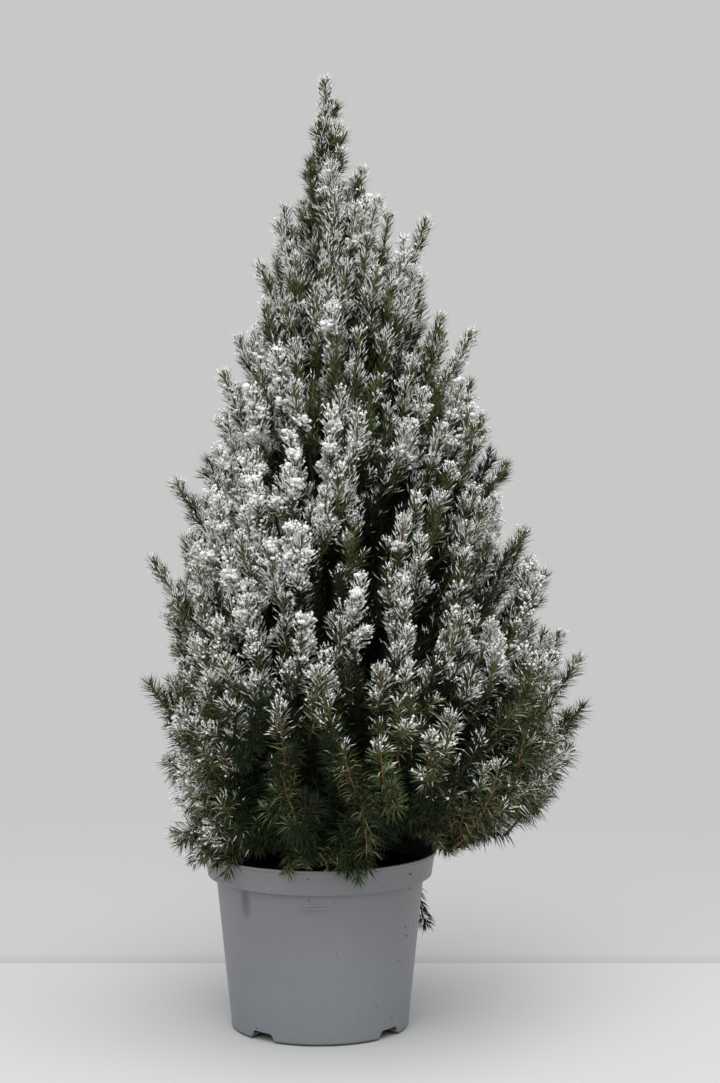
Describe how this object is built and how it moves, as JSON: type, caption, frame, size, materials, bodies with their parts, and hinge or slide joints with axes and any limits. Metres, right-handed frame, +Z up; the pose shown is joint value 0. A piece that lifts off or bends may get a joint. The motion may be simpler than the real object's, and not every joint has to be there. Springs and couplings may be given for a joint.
{
  "type": "potted dwarf alberta spruce",
  "caption": "Dense cone-shaped dwarf spruce dusted with snow, standing in a round grey nursery pot with a flared rim.",
  "frame": {"origin": "centre of the pot's flat underside, on the surface it stands on", "axes": "+Z up along the trunk; the picture looks along +Y with +X to the right"},
  "size_m": [0.4343, 0.4198, 0.928],
  "materials": {
    "pot_plastic": "satin",
    "compost": "matte",
    "bark": "matte",
    "green_needles": "matte",
    "frosted_needles": "matte"
  },
  "bodies": {
    "root": {"pot": "pot_plastic", "compost": "compost", "trunk": "bark", "bough_1_1": "bark", "bough_1_2": "bark", "bough_1_3": "bark", "bough_1_4": "bark", "bough_1_5": "bark", "bough_1_6": "bark", "bough_1_7": "bark", "bough_2_1": "bark", "bough_2_2": "bark", "bough_2_3": "bark", "bough_2_4": "bark", "bough_2_5": "bark", "bough_2_6": "bark", "bough_3_1": "bark", "bough_3_2": "bark", "bough_3_3": "bark", "bough_3_4": "bark", "bough_3_5": "bark", "bough_3_6": "bark", "bough_4_1": "bark", "bough_4_2": "bark", "bough_4_3": "bark", "bough_4_4": "bark", "bough_4_5": "bark", "foliage_1_1": "green_needles", "foliage_1_2": "green_needles", "foliage_1_3": "green_needles", "foliage_1_4": "green_needles", "foliage_1_5": "green_needles", "foliage_1_6": "green_needles", "foliage_1_7": "green_needles", "foliage_2_1": "frosted_needles", "foliage_2_2": "frosted_needles", "foliage_2_3": "frosted_needles", "foliage_2_4": "frosted_needles", "foliage_2_5": "frosted_needles", "foliage_2_6": "frosted_needles", "foliage_3_1": "frosted_needles", "foliage_3_2": "frosted_needles", "foliage_3_3": "frosted_needles", "foliage_3_4": "frosted_needles", "foliage_3_5": "frosted_needles", "foliage_3_6": "frosted_needles", "foliage_4_1": "frosted_needles", "foliage_4_2": "frosted_needles", "foliage_4_3": "frosted_needles", "foliage_4_4": "frosted_needles", "foliage_4_5": "frosted_needles", "foliage_5_1": "frosted_needles", "foliage_5_2": "frosted_needles", "foliage_5_3": "frosted_needles", "foliage_5_4": "frosted_needles", "foliage_6_1": "frosted_needles", "foliage_6_2": "frosted_needles", "foliage_6_3": "frosted_needles", "leader": "frosted_needles"}
  },
  "joints": []
}
